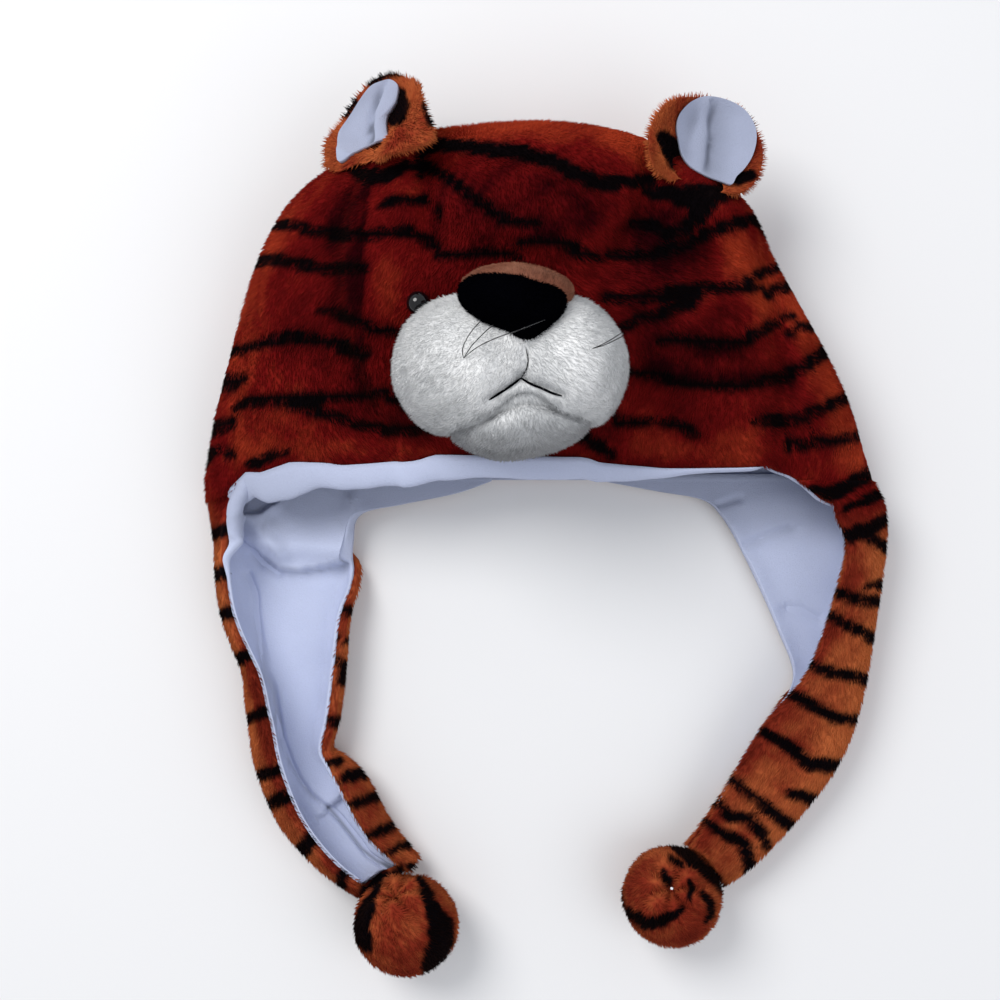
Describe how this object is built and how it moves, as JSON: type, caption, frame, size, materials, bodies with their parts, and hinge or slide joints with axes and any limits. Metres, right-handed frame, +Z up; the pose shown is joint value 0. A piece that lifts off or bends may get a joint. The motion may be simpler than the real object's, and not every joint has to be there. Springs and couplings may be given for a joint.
{
  "type": "aviator hat",
  "caption": "Soft plush trapper hat shaped as a tiger's head, with fleece-lined ear flaps that end in pompoms; it is worn to keep the head and ears warm.",
  "frame": {"origin": "centre of the base of the box round the whole hat, on the surface that it lies on", "axes": "+Y from the tips of the ear flaps to the top of the head, +X to the right of the face as seen from above, +Z up from the surface"},
  "size_m": [0.3167, 0.408, 0.1267],
  "materials": {
    "plush": "short pile plush, orange with black stripes",
    "fleece": "brushed white fleece",
    "muzzle_plush": "short pile plush, greyish white",
    "black_plush": "short pile plush, black",
    "tan_plush": "smooth short pile plush, tan",
    "eye_plastic": "glossy black"
  },
  "bodies": {
    "root": {"crown": "plush", "crown_lining": "fleece", "flap_left": "plush", "flap_left_lining": "fleece", "pompom_left": "plush", "flap_right": "plush", "flap_right_lining": "fleece", "pompom_right": "plush", "ear_left": "plush", "ear_left_lining": "fleece", "ear_right": "plush", "ear_right_lining": "fleece", "muzzle": "muzzle_plush", "chin": "muzzle_plush", "nose": "black_plush", "nose_bridge": "tan_plush", "eye_left": "eye_plastic", "eye_right": "eye_plastic"}
  },
  "joints": []
}
